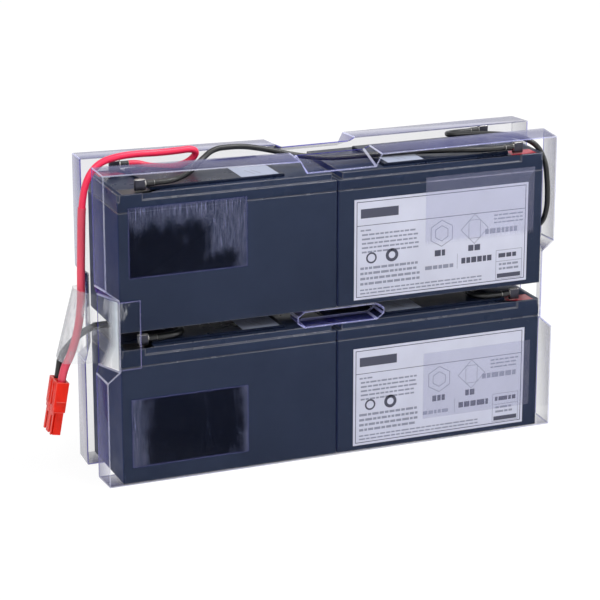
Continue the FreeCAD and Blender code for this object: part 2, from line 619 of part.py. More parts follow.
# ---------------------------------------------------------------- tape
def lead_tape():
    """One strip of clear tape: front face, round the leads, back to the rear shell."""
    thick = value("tape_thick")
    gap = value("tape_fit")
    front = value(SHELL_FRONT)
    waist = value(WAIST_HALF)
    flare = waist + value("waist_flare")
    rim = front + value("tray_depth")

    def plan(loop_x, loop_near, loop_far):
        """Centre line of the strip seen from above, from the front face to the rear face."""
        off = gap + thick / 2
        inset, bow = value("tape_inset"), value("tape_bow")
        rear = value("tape_rear")
        slope = value("waist_flare") * rear / value("tray_depth")
        clear = 1.2 * off
        return [Vector(-waist + value("tape_front"), front - off, 0),
                Vector(-waist - off, front - off, 0),
                Vector(-flare - clear, rim - inset, 0), Vector(loop_x + bow, loop_near, 0),
                Vector(loop_x, (loop_near + loop_far) / 2, 0), Vector(loop_x + bow, loop_far, 0),
                Vector(-flare - clear, inset - rim, 0),
                Vector(-waist - slope - clear, -front - rear, 0)]

    def ribbon(line, z):
        """Closed outline of the strip's section at one height."""
        left, right = [], []
        for i, point in enumerate(line):
            before = line[max(i - 1, 0)]
            after = line[min(i + 1, len(line) - 1)]
            run = after - before
            run.normalize()
            side = Vector(-run.y, run.x, 0) * (thick / 2)
            left.append(point + side + Vector(0, 0, z))
            right.append(point - side + Vector(0, 0, z))
        outline = left + right[::-1]
        return Part.makePolygon(outline + [outline[0]])

    low = ribbon(plan(MOUTH.x - 0.7, -6.2, 11.5), value("tape_low"))
    high = ribbon(plan(MOUTH.x + 12.7, 0.2, 14.2), value("tape_high"))
    return Part.makeLoft([low, high], True, True)


new_feature("lead_tape", lead_tape())


# ---------------------------------------------------------------- checks and files
DOC.recompute()
for obj in DOC.Objects:
    if "Invalid" in obj.State or "Error" in obj.State:
        raise RuntimeError(f"{obj.Label} failed: {obj.State}")
os.makedirs("parts", exist_ok=True)
for node in NODES:
    if node.Shape.isNull() or not node.Shape.isValid():
        raise RuntimeError(f"{node.Label} has no valid shape")
    node.Shape.exportStep(f"parts/{node.Label}.step")
print(f"{len(NODES)} nodes written")
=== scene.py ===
"""UPS battery cartridge: looks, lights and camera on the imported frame."""
import json
import math

import bmesh
import bpy
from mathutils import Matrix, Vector, noise

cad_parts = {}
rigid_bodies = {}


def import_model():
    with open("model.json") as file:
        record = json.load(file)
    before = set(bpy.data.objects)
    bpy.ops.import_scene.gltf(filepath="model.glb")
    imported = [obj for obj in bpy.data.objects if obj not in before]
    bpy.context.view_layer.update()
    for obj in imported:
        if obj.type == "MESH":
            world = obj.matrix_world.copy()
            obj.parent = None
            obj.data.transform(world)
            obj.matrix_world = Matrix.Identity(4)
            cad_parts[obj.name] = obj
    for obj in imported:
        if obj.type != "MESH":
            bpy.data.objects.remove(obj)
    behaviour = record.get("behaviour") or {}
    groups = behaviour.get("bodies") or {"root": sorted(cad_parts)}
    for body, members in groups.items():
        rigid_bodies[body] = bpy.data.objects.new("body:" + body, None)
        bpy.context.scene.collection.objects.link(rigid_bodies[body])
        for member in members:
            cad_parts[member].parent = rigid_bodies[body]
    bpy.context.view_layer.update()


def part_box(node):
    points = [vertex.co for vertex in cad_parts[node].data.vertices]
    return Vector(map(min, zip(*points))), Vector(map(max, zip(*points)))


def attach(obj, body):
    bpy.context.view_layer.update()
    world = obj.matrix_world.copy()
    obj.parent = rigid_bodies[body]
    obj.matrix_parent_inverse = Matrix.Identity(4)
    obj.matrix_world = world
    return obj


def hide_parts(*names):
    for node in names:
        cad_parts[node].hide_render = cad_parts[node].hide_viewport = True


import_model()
MM = 0.001


def srgb(red, green, blue):
    """An 8-bit colour as linear numbers."""
    return tuple(((c / 255 + 0.055) / 1.055) ** 2.4 if c > 10 else c / 3295
                 for c in (red, green, blue)) + (1.0,)


def shade(colour, share):
    """A colour made darker or lighter."""
    return tuple(min(1.0, c * share) for c in colour[:3]) + (1.0,)


# ---------------------------------------------------------------- materials
class Nodes:
    """Short calls for a material's node tree."""

    def __init__(self, name):
        self.material = bpy.data.materials.new(name)
        self.material.use_nodes = True
        self.tree = self.material.node_tree
        self.shader = self.tree.nodes["Principled BSDF"]
        self.place = self.add("ShaderNodeTexCoord").outputs["Object"]

    def add(self, kind, **settings):
        """A new node with these settings."""
        node = self.tree.nodes.new(kind)
        for key, value in settings.items():
            setattr(node, key, value)
        return node

    def link(self, source, target):
        self.tree.links.new(source, target)

    def set(self, **sockets):
        """Constant values on the shader's own sockets, _ standing for a space."""
        for key, value in sockets.items():
            self.shader.inputs[key.replace("_", " ")].default_value = value

    def noise(self, scale, detail=3.0, rough=0.55, stretch=(1, 1, 1)):
        """Noise from 0 to 1 in the object's own space, about scale waves to a metre."""
        mapping = self.add("ShaderNodeMapping")
        mapping.inputs["Scale"].default_value = stretch
        self.link(self.place, mapping.inputs["Vector"])
        texture = self.add("ShaderNodeTexNoise")
        texture.inputs["Scale"].default_value = scale
        texture.inputs["Detail"].default_value = detail
        texture.inputs["Roughness"].default_value = rough
        self.link(mapping.outputs["Vector"], texture.inputs["Vector"])
        return texture.outputs["Fac"]

    def span(self, source, low, high, to_low, to_high):
        """Map source from low..high to to_low..to_high, clamped."""
        node = self.add("ShaderNodeMapRange")
        for key, value in (("From Min", low), ("From Max", high),
                           ("To Min", to_low), ("To Max", to_high)):
            node.inputs[key].default_value = value
        self.link(source, node.inputs["Value"])
        return node.outputs["Result"]

    def mix(self, factor, first, second):
        """Blend two colours; each is a tuple or a socket."""
        node = self.add("ShaderNodeMix", data_type="RGBA")
        self.link(factor, node.inputs["Factor"])
        for value, socket in ((first, node.inputs[6]), (second, node.inputs[7])):
            if isinstance(value, tuple):
                socket.default_value = value
            else:
                self.link(value, socket)
        return node.outputs[2]

    def math(self, operation, first, second):
        """One sum on two values; each is a number or a socket."""
        node = self.add("ShaderNodeMath", operation=operation)
        for value, socket in ((first, node.inputs[0]), (second, node.inputs[1])):
            if isinstance(value, (int, float)):
                socket.default_value = value
            else:
                self.link(value, socket)
        return node.outputs[0]

    def bump(self, height, strength, distance):
        """Relief from a height socket, distance metres deep."""
        node = self.add("ShaderNodeBump")
        node.inputs["Strength"].default_value = strength
        node.inputs["Distance"].default_value = distance
        self.link(height, node.inputs["Height"])
        self.link(node.outputs["Normal"], self.shader.inputs["Normal"])

    def layer(self, factor, over):
        """Lay the colour over on the material's own colour, by factor."""
        under = self.shader.inputs["Base Color"].links[0].from_socket
        self.link(self.mix(factor, under, over), self.shader.inputs["Base Color"])

    def facing(self):
        """0 where a surface is seen straight, rising to 1 at its outline."""
        weight = self.add("ShaderNodeLayerWeight")
        weight.inputs["Blend"].default_value = 0.5
        return weight.outputs["Facing"]

    def axis(self, name):
        """A coordinate in metres."""
        node = self.add("ShaderNodeSeparateXYZ")
        self.link(self.place, node.inputs[0])
        return node.outputs[name]

    def between(self, name, low, high, soft):
        """1 inside a slab of one axis, fading over soft; all in metres."""
        value = self.axis(name)
        up = self.span(value, low - soft, low + soft, 0, 1)
        down = self.span(value, high - soft, high + soft, 1, 0)
        return self.math("MULTIPLY", up, down)


def moulded(name, colour, rough, grain=1600.0, bump=0.03, vary=0.06):
    """Moulded plastic: fine grain, faint flow marks and handling sheen."""
    m = Nodes(name)
    flow = m.span(m.noise(22.0, 4.0), 0.35, 0.65, 0, 1)
    m.link(m.mix(flow, shade(colour, 1 - vary), shade(colour, 1 + vary)),
           m.shader.inputs["Base Color"])
    m.link(m.span(m.noise(60.0), 0.3, 0.7, rough - 0.05, rough + 0.07), m.shader.inputs["Roughness"])
    m.bump(m.noise(grain, 2.0), bump, 0.00003)
    return m


battery_case = moulded("battery_case", srgb(47, 55, 75), 0.40, grain=700.0, bump=0.01)
battery_lid = moulded("battery_lid", srgb(42, 51, 73), 0.30, grain=700.0, bump=0.01)
# painted highlight: a lighter colour for the rounded edges of the cases and lids
battery_edge_highlight = moulded("battery_edge_highlight", srgb(74, 77, 92), 0.24)
vent_cover = moulded("vent_cover", srgb(20, 29, 50), 0.30)
black_wire = moulded("black_insulation", srgb(18, 19, 21), 0.36, grain=900.0, bump=0.1)
red_wire = moulded("red_insulation", srgb(252, 46, 88), 0.34, grain=900.0, bump=0.08, vary=0.03)
red_sleeve = moulded("red_sleeve", srgb(228, 74, 98), 0.42, grain=700.0, bump=0.15)
red_housing = moulded("red_housing", srgb(236, 34, 8), 0.36, grain=1800.0, bump=0.05)
# painted highlight: a lighter red for the plugs' rounded edges and moulded line
housing_highlight = moulded("red_housing_highlight", srgb(244, 84, 72), 0.25, grain=1800.0)
for plastic, shine in ((battery_case, 0.04), (battery_lid, 0.06), (vent_cover, 0.1),
                       (red_housing, 0.2)):
    plastic.set(Specular_IOR_Level=shine)
red_housing.set(Subsurface_Weight=0.08, Subsurface_Scale=0.002)
for plastic in (battery_case, battery_lid):    # the ends are coloured bluer than the long sides: painted light, standing for the blue-tinted light that reaches them through the clear shell
    normal = plastic.add("ShaderNodeSeparateXYZ")
    plastic.link(plastic.add("ShaderNodeNewGeometry").outputs["Normal"], normal.inputs[0])
    end = plastic.span(plastic.math("ABSOLUTE", normal.outputs["X"], 0), 0.6, 0.9, 0, 1)
    plastic.layer(end, srgb(48, 58, 94))


def metal(name, colour, rough):
    """Sheet metal with drawn streaks and duller patches."""
    m = Nodes(name)
    m.set(Metallic=1.0)
    streaks = m.noise(900.0, 3.0, 0.6, (0.15, 1, 1))
    m.link(m.mix(m.span(m.noise(140.0), 0.35, 0.7, 0, 1), colour, shade(colour, 0.72)),
           m.shader.inputs["Base Color"])
    m.link(m.span(streaks, 0.3, 0.7, rough - 0.08, rough + 0.12), m.shader.inputs["Roughness"])
    m.bump(streaks, 0.15, 0.0001)
    return m


terminal_blade = metal("terminal_blade", srgb(190, 186, 182), 0.34)
receptacle = metal("receptacle", srgb(70, 70, 80), 0.38)
# painted glint: a light colour for the receptacles' rounded edges, against their dark body
receptacle_glint = metal("receptacle_glint", srgb(186, 184, 182), 0.30)
# nearer the middle than this a receptacle is its insulated barrel, further out bare metal
BARREL_X, BARREL_SOFT = 0.1309, 0.0002
bare = receptacle.span(receptacle.math("ABSOLUTE", receptacle.axis("X"), 0.0),
                       BARREL_X - BARREL_SOFT, BARREL_X + BARREL_SOFT, 0, 1)
receptacle.layer(receptacle.math("SUBTRACT", 1.0, bare), srgb(20, 20, 23))
receptacle.link(bare, receptacle.shader.inputs["Metallic"])
contact_silver = metal("contact_silver", srgb(226, 224, 218), 0.24)


def resin(name, colour):
    """Cast seal round a terminal: uneven tone, lumpy surface."""
    m = Nodes(name)
    m.set(Roughness=0.30, Specular_IOR_Level=0.35)
    m.link(m.mix(m.span(m.noise(300.0), 0.3, 0.7, 0, 1), colour, shade(colour, 0.7)),
           m.shader.inputs["Base Color"])
    m.bump(m.noise(420.0, 2.0), 0.25, 0.0003)
    return m


black_seal = resin("black_seal", srgb(24, 24, 28))
red_seal = resin("red_seal", srgb(186, 20, 54))


def printed(name, colour, rough):
    """Film label: faint tooth, slight unevenness of tone."""
    m = Nodes(name)
    m.link(m.mix(m.span(m.noise(40.0, 5.0), 0.35, 0.65, 0, 1), shade(colour, 0.93), colour),
           m.shader.inputs["Base Color"])
    m.set(Roughness=rough)
    m.bump(m.noise(1500.0, 2.0), 0.08, 0.0001)
    return m


label = printed("label", srgb(206, 208, 224), 0.4)
sticker = printed("sticker", srgb(176, 184, 206), 0.5)
ink = printed("label_ink", srgb(66, 68, 88), 0.45)
ink_soft = printed("label_ink_soft", srgb(138, 141, 160), 0.45)


def clear(name, tint, grey, face_on, slant, power, rough, wave=0.0):
    """Clear tinted sheet: its cover is face_on seen straight, plus slant * facing ** power."""
    m = Nodes(name)
    m.link(m.mix(m.span(m.noise(14.0, 2.0), 0.4, 0.65, 0, 1), tint, grey),
           m.shader.inputs["Base Color"])
    m.set(Roughness=rough, IOR=1.5, Specular_IOR_Level=0.5)
    rise = m.math("MULTIPLY", m.math("POWER", m.facing(), power), slant)
    m.link(m.math("MINIMUM", m.math("ADD", rise, face_on), 0.92), m.shader.inputs["Alpha"])
    if wave:
        m.bump(m.noise(30.0, 2.0), wave, 0.002)
    m.material.surface_render_method = "BLENDED"
    return m


shell_sheet = clear("clear_shell", srgb(40, 36, 132), srgb(70, 66, 152),
                    face_on=0.0, slant=2.4, power=5.0, rough=0.06, wave=0.1)
rear_sheet = clear("clear_shell_rear", srgb(92, 88, 160), srgb(150, 148, 180),
                   face_on=0.12, slant=5.0, power=5.0, rough=0.06, wave=0.1)
shell_top = clear("clear_shell_top", srgb(46, 50, 126), srgb(74, 74, 116),
                  face_on=0.05, slant=1.4, power=3.0, rough=0.08, wave=0.1)
shell_top.set(Specular_IOR_Level=0.3)
# painted highlight: a light lavender cover on the rounded bends of the trays
shell_bend_highlight = clear("clear_shell_painted_highlight", srgb(178, 180, 238), srgb(222, 224, 242),
                   face_on=0.30, slant=1.0, power=2.0, rough=0.10)
shell_rim = clear("clear_shell_rim", srgb(86, 80, 196), srgb(110, 104, 206),
                  face_on=0.60, slant=0.4, power=2.0, rough=0.15)


# ---------------------------------------------------------------- CAD nodes with better finishes
def finish_node(node, made):
    """Give a CAD piece a material in all its slots."""
    for place in bpy.data.objects[node].material_slots:
        place.material = made.material


COLUMNS = [f"{row}_{side}" for row in ("upper", "lower") for side in ("left", "right")]
for spot in COLUMNS:
    finish_node(f"vent_cover_{spot}", vent_cover)
    finish_node(f"lid_sticker_{spot}", sticker)
    for pole in ("positive", "negative"):
        finish_node(f"{pole}_tab_{spot}", terminal_blade)
finish_node("negative_seals", black_seal)
finish_node("positive_seals", red_seal)
finish_node("front_label_upper", label)
finish_node("front_label_lower", label)
for jumper in ("top_jumper", "right_jumper", "rear_jumper"):
    finish_node(jumper, black_wire)
for lead in ("red", "black"):
    finish_node(f"connector_contact_{lead}_lead", contact_silver)


# ---------------------------------------------------------------- mesh helpers
def new_object(name, data, slots=()):
    """An object in the scene, with its materials."""
    obj = bpy.data.objects.new(name, data)
    bpy.context.scene.collection.objects.link(obj)
    for made in slots:
        data.materials.append(made.material)
    return obj


def mesh_of(name, points, faces):
    """A mesh from points in millimetres."""
    mesh = bpy.data.meshes.new(name)
    mesh.from_pydata([[c * MM for c in p] for p in points], [], faces)
    mesh.validate()
    return mesh


def bake(obj):
    """Replace an object's mesh with what its modifiers make of it."""
    bpy.context.view_layer.update()
    done = obj.evaluated_get(bpy.context.evaluated_depsgraph_get())
    result = bpy.data.meshes.new_from_object(done)
    obj.modifiers.clear()
    obj.data = result


def recalculate(obj, open_at=None):
    """Turn all faces outwards and drop those that lie in the plane y = open_at."""
    work = bmesh.new()
    work.from_mesh(obj.data)
    bmesh.ops.recalc_face_normals(work, faces=work.faces)
    if open_at is not None:
        flat = [f for f in work.faces if all(abs(v.co.y - open_at) < 1e-5 for v in f.verts)]
        bmesh.ops.delete(work, geom=flat, context="FACES_ONLY")
    work.to_mesh(obj.data)
    work.free()


def smooth(obj, angle=40.0):
    """Smooth shading, with sharp edges where faces meet at more than angle degrees."""
    for face in obj.data.polygons:
        face.use_smooth = True
    obj.data.set_sharp_from_angle(angle=math.radians(angle))


def rounded(node, made, highlight_made, width, extras=()):
    """A copy of a CAD piece with its sharp edges rounded by width in mm, in place of it. Its rounded
    faces take the second material, a lighter one that paints their highlight.

    extras are (operation, solid) pairs, cut from or joined to the copy after that.
    """
    source = bpy.data.objects[node]
    mesh = source.data.copy()
    work = bmesh.new()
    work.from_mesh(mesh)
    bmesh.ops.remove_doubles(work, verts=work.verts, dist=1e-6)
    bmesh.ops.dissolve_limit(work, angle_limit=math.radians(0.5), verts=work.verts,
                             edges=work.edges)
    work.to_mesh(mesh)
    work.free()
    mesh.materials.clear()
    obj = new_object(f"{node}_rounded", mesh, (made, highlight_made))
    obj.matrix_world = source.matrix_world
    edge = obj.modifiers.new("edge", "BEVEL")
    edge.width, edge.segments, edge.use_clamp_overlap = width * MM, 2, False
    edge.limit_method, edge.angle_limit, edge.material = "ANGLE", math.radians(35), 1
    bake(obj)
    for operation, solid in extras:
        change = obj.modifiers.new("change", "BOOLEAN")
        change.operation, change.solver, change.object = operation, "EXACT", solid
        bake(obj)
        bpy.data.objects.remove(solid)
    smooth(obj)
    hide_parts(node)
    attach(obj, "root")
    return obj


# ---------------------------------------------------------------- where the leads end, in mm
HIGH, LOW = 201.0, 97.4             # heights of the upper and lower terminals
RED_Y, BLACK_Y = -2.4, 6.2          # the two housings' axes
LEAN = math.radians(10.3)           # of the hanging connector
MOUTH = Vector((-182.7, 1.9, 67.0))
DOWN = Vector((-math.sin(LEAN), 0, -math.cos(LEAN)))


def above_mouth(y, height):
    """A point on a housing's axis, this far above its mouth."""
    point = MOUTH - DOWN * height
    return (point.x, y, point.z)


# ---------------------------------------------------------------- batteries and plugs
for spot in COLUMNS:
    rounded(f"battery_case_{spot}", battery_case, battery_edge_highlight, 0.6)
    rounded(f"battery_lid_{spot}", battery_lid, battery_edge_highlight, 0.6)
    for pole in ("positive", "negative"):
        rounded(f"{pole}_receptacle_{spot}", receptacle, receptacle_glint, 0.35)


def plug_box(name, y_centre, x0, x1, y0, y1, z0, z1, slot_number=0):
    """Box in a housing's own frame: z down from its mouth, x to its outer side, in mm."""
    outer = Vector((-math.cos(LEAN), 0, math.sin(LEAN)))
    start = Vector((MOUTH.x, y_centre, MOUTH.z))
    points = [start + outer * x + Vector((0, y, 0)) + DOWN * z
              for z in (z0, z1) for x, y in ((x0, y0), (x1, y0), (x1, y1), (x0, y1))]
    faces = [[3, 2, 1, 0], [4, 5, 6, 7]]
    faces += [[k, (k + 1) % 4, (k + 1) % 4 + 4, k + 4] for k in range(4)]
    obj = new_object(name, mesh_of(name, points, faces), (red_housing, housing_highlight))
    for face in obj.data.polygons:
        face.material_index = slot_number
    recalculate(obj)
    return obj


PLUG = 4.3                          # half of a housing's width and depth, in mm
RIB_Y = 2.2                         # of a side rib, from the housing's axis
for lead, y_centre, seam in (("red", RED_Y, 1), ("black", BLACK_Y, -1)):
    rib = plug_box("rib", y_centre, PLUG - 0.3, PLUG + 0.4,
                   seam * RIB_Y - 0.5, seam * RIB_Y + 0.5, 1.0, 16.5)
    extras = [("UNION", rib)]
    if lead == "red":       # the front one also shows its moulded line and its latch slot
        # the moulded line takes the lighter red of slot 1: painted highlight
        line = plug_box("line", y_centre, -PLUG + 0.4, PLUG - 1.6, -PLUG - 0.12, -PLUG + 0.5,
                        13.0, 13.6, slot_number=1)
        slot = plug_box("slot", y_centre, 1.9, 2.9, -PLUG - 0.5, -PLUG + 1.6, 21.5, 37.0)
        extras += [("UNION", line), ("DIFFERENCE", slot)]
    rounded(f"connector_housing_{lead}_lead", red_housing, housing_highlight, 0.3,
                             extras)


# ---------------------------------------------------------------- clear shells, in mm
FACE_Y, RIM_Y, WALL = -33.6, -12.5, 0.8
CENTRE = 2.4                        # of the notch and the pocket, off the middle
BEND, RIM, TOP = 1, 2, 3            # a tray's material slots; 0 is its plain sheet


def tray_outline(flare):
    """Outline of a tray, from its face (0) to its rim (1); its left top corner is raised."""
    bulge, waist = 161.0 + 1.1 * flare, 152.2 + 8.2 * flare
    top, notch = 207.1 + 1.1 * flare, 199.0 + 7.2 * flare
    side = [(bulge, 0.0), (bulge, 72 + 1.1 * flare), (waist, 79.0), (waist, 126.8),
            (bulge, 133.8 - 1.1 * flare)]
    right = side + [(bulge, top), (CENTRE + 28.6, top), (CENTRE + 24.4, notch)]
    left = [(CENTRE - 24.4, notch), (CENTRE - 28.6, top), (-bulge, top + 3.0)]
    return right + left + [(-x, z) for x, z in reversed(side)]


def pocket_points(shrink):
    """Outline of the finger pocket: a slot with cut corners, made smaller by shrink."""
    half, inner = 30.5 - shrink, 26.0 - shrink
    low, high = 93.7 + shrink, 103.6 - shrink
    corner = 3.15
    side = [(inner, low), (half, low + corner), (half, high - corner), (inner, high)]
    return [(CENTRE + x, z) for x, z in side] + [(CENTRE - x, z) for x, z in reversed(side)]


def prism(name, near, near_y, far, far_y):
    """Closed solid between two outlines with as many corners."""
    count = len(near)
    points = [(x, near_y, z) for x, z in near] + [(x, far_y, z) for x, z in far]
    faces = [list(range(count)), list(range(2 * count - 1, count - 1, -1))]
    faces += [[(i + 1) % count, i, count + i, count + (i + 1) % count] for i in range(count)]
    return new_object(name, mesh_of(name, points, faces))


def tray(name, node, hand, sheet):
    """A clear tray with its pocket; hand is 1 for the front one, -1 for the rear one."""
    body = prism(name, tray_outline(0.0), hand * FACE_Y, tray_outline(1.0), hand * RIM_Y)
    cut = prism(name + "_cut", pocket_points(-0.1), hand * (FACE_Y - 1.0),
                pocket_points(0.5), hand * (FACE_Y + 15.0))
    for obj in (body, cut):
        recalculate(obj)
    carve = body.modifiers.new("pocket", "BOOLEAN")
    carve.operation, carve.solver, carve.object = "DIFFERENCE", "EXACT", cut
    bake(body)
    bpy.data.objects.remove(cut)
    recalculate(body, open_at=hand * RIM_Y * MM)
    for made in (sheet, shell_bend_highlight, shell_rim, shell_top):
        body.data.materials.append(made.material)
    for face in body.data.polygons:
        if face.normal.z > 0.8 and face.center.z > 0.205:
            face.material_index = TOP
    # the bends take the light bend material: painted highlight
    bend = body.modifiers.new("bend", "BEVEL")
    bend.width, bend.segments, bend.material = 0.7 * MM, 3, BEND
    bend.limit_method, bend.angle_limit = "ANGLE", math.radians(18)
    wall = body.modifiers.new("wall", "SOLIDIFY")
    wall.thickness, wall.offset, wall.material_offset_rim = WALL * MM, -1.0, RIM
    wall.use_even_offset = True
    bake(body)
    smooth(body, 30.0)
    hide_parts(node)
    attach(body, "root")


tray("front_tray", "front_shell", 1, shell_sheet)
tray("rear_tray", "rear_shell", -1, rear_sheet)


# ---------------------------------------------------------------- adhesive films
def brushed(name):
    """Film material with fine upright streaks, as left by the hand that pressed it on."""
    m = Nodes(name)
    m.set(Roughness=0.35, Specular_IOR_Level=0.15)
    m.material.surface_render_method = "BLENDED"
    streak = m.noise(1500.0, 4.0, 0.6, (1, 1, 0.06))
    return m, m.span(streak, 0.40, 0.62, 0, 1)


def wetted(name, low, high, wet_x, wet_z, foot):
    """Film hazy where it holds air and dark where it has wetted out; places in metres.

    The wet area is wider up to foot above the film's lower edge; below 0 it has no such foot.
    """
    m, streak = brushed(name)
    main = m.math("MULTIPLY", m.between("X", *wet_x, 0.007), m.between("Z", *wet_z, 0.007))
    spread = m.math("MULTIPLY", m.between("X", wet_x[0], wet_x[1] + 0.020, 0.006),
                    m.between("Z", wet_z[0], low[2] + foot, 0.006))
    inside = m.math("MAXIMUM", main, spread)
    blotch = m.span(m.noise(90.0, 5.0, 0.7, (1, 1, 0.5)), 0.35, 0.65, -0.3, 0.3)
    ragged = m.math("ADD", m.math("ADD", inside, blotch), m.span(streak, 0, 1, -0.2, 0.2))
    wet = m.span(ragged, 0.3, 0.8, 0, 1)
    haze = m.mix(streak, srgb(58, 66, 94), srgb(126, 130, 162))
    margin, soft = 0.0007, 0.0004
    within = m.math("MULTIPLY", m.between("X", low[0] + margin, high[0] - margin, soft),
                    m.between("Z", low[2] + margin, high[2] - margin, soft))
    tone = m.mix(within, srgb(84, 88, 142), m.mix(wet, haze, srgb(13, 18, 36)))
    m.link(tone, m.shader.inputs["Base Color"])
    m.set(Alpha=0.55)
    return m


def hazed(name, bottom):
    """Film that holds air down to the height bottom, and has wetted out below it."""
    m, streak = brushed(name)
    m.link(m.mix(streak, srgb(180, 182, 226), srgb(214, 216, 246)), m.shader.inputs["Base Color"])
    edge = m.math("ADD", m.axis("Z"), m.span(streak, 0, 1, -0.001, 0.001))
    m.link(m.span(edge, bottom - 0.001, bottom + 0.001, 0.03, 0.15), m.shader.inputs["Alpha"])
    return m


# where each left film is wet: from and to in x, how far past its upper edge, and its foot
WET = {"upper": (-0.010, 0.056, -0.0115, 0.013), "lower": (0.010, 0.077, 0.006, -0.020)}
for row, (x0, x1, top, foot) in WET.items():
    low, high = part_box(f"adhesive_{row}_left")
    finish_node(f"adhesive_{row}_left",
                wetted(f"adhesive_{row}", low, high, (low[0] + x0, low[0] + x1),
                       (low[2] - 0.01, high[2] + top), foot))
    finish_node(f"adhesive_{row}_right", hazed(f"adhesive_{row}_right", high[2] - 0.045))
    bpy.data.objects[f"adhesive_{row}_right"].visible_shadow = False    # it lies on the label
finish_node("rear_adhesive", hazed("rear_adhesive", 0.0))


# ---------------------------------------------------------------- leads, in mm
RED_ROUTE = [
    (-124.7, 26.5, HIGH), (-118.5, 26.5, HIGH), (-112, 25.2, HIGH - 2.4),
    (-104, 20.5, HIGH - 2.6), (-96.5, 15.0, HIGH - 2.0), (-88.5, 10.6, HIGH + 1.4),
    (-83.4, 7.8, HIGH + 7.4), (-87.0, 5.8, HIGH + 11.6), (-98, 5.8, HIGH + 11.0),
    (-111.5, 6.0, HIGH + 10.8), (-125.5, 5.8, HIGH + 11.5), (-139, 5.5, HIGH + 11.0),
    (-151.6, 5.2, HIGH + 8.0), (-159.9, 5.0, HIGH - 1.5), (-163.6, 5.2, 183),
    (-164.2, 6.2, 159), (-164.8, 7.0, 136), (-165.6, 5.4, 115), (-169.4, 1.8, 98.5),
    (-175.6, -1.6, 83.5), above_mouth(RED_Y, 8.0), above_mouth(RED_Y, -4.0)]
BLACK_ROUTE = [
    (-124.7, -26.5, LOW), (-112.5, -26.5, LOW), (-104.5, -19.5, LOW), (-104.5, -8, LOW),
    (-111, 2, LOW), (-124, 8.2, LOW), (-140, 10.2, LOW + 0.3), (-155, 10.0, LOW + 0.8),
    (-165.3, 9.4, LOW - 3.2), (-174.2, 8.0, LOW - 10.0), (-180.4, 6.8, LOW - 16.8),
    above_mouth(BLACK_Y, 7.0), above_mouth(BLACK_Y, -4.0)]
LEAD_RADIUS = 2.3


def wire(name, route, made, node):
    """A lead on one NURBS line, in place of its CAD tube; also the points of its line."""
    curve = bpy.data.curves.new(name, "CURVE")
    curve.dimensions = "3D"
    curve.resolution_u = 10
    line = curve.splines.new("NURBS")
    line.points.add(len(route) - 1)
    for point, (x, y, z) in zip(line.points, route):
        point.co = (x * MM, y * MM, z * MM, 1.0)
    line.order_u = 3
    line.use_endpoint_u = True
    bare = new_object(name + "_line", curve.copy())
    done = bare.evaluated_get(bpy.context.evaluated_depsgraph_get())
    points = [v.co.copy() for v in bpy.data.meshes.new_from_object(done).vertices]
    bpy.data.objects.remove(bare)
    curve.bevel_depth = LEAD_RADIUS * MM
    curve.bevel_resolution = 6
    curve.use_fill_caps = True
    obj = new_object(name, curve, (made,))
    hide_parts(node)
    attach(obj, "root")
    return obj, points


def length_of(points):
    return sum((b - a).length for a, b in zip(points, points[1:]))


def tube_mesh(name, points, rings, slots, sides=24):
    """A tube of changing radius along points; rings are (place along it, radius)."""
    reach = [0.0]
    for a, b in zip(points, points[1:]):
        reach.append(reach[-1] + (b - a).length)

    def at(distance):
        distance = min(max(distance, 0.0), reach[-1])
        k = max(i for i, value in enumerate(reach) if value <= distance + 1e-9)
        k = min(k, len(points) - 2)
        share = (distance - reach[k]) / max(reach[k + 1] - reach[k], 1e-9)
        return points[k].lerp(points[k + 1], share), (points[k + 1] - points[k]).normalized()

    verts, faces = [], []
    side = Vector((0, 1, 0))
    for distance, radius in rings:
        centre, ahead = at(distance)
        side = (side - ahead * side.dot(ahead)).normalized()
        other = ahead.cross(side)
        for k in range(sides):
            angle = 2 * math.pi * k / sides
            verts.append(centre + (side * math.cos(angle) + other * math.sin(angle)) * radius)
    for r in range(len(rings) - 1):
        for k in range(sides):
            a, b = r * sides + k, r * sides + (k + 1) % sides
            faces.append([a, b, b + sides, a + sides])
    mesh = bpy.data.meshes.new(name)
    mesh.from_pydata(verts, [], faces)
    obj = new_object(name, mesh, slots)
    smooth(obj, 50)
    return obj


red_lead, red_line = wire("red_lead_wire", RED_ROUTE, red_wire, "red_lead")
black_lead, black_line = wire("black_lead_wire", BLACK_ROUTE, black_wire, "black_lead")

# shrink sleeve in metres: from its top down to the housing's mouth, waved by the heat
SLEEVE_TOP, LIP, STEPS = 0.179, 0.0004, 70
start = 0.0
for a, b in zip(red_line, red_line[1:]):
    if b.z < SLEEVE_TOP and a.x < -0.15:
        break
    start += (b - a).length
stop = length_of(red_line) - 0.0045
rings = [(start, 0.00236), (start, 0.00262), (start + LIP, 0.00272)]
for i in range(1, STEPS):
    s = start + LIP + (stop - start - 2 * LIP) * i / STEPS
    rings.append((s, 0.00268 + 0.00005 * noise.noise(Vector((s * 260, 0, 0)))))
rings += [(stop - 0.0002, 0.00266), (stop, 0.0026), (stop, 0.00236)]
sleeve = tube_mesh("red_sleeve_tube", red_line, rings, (red_sleeve,))
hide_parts("red_lead_sleeve")
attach(sleeve, "root")


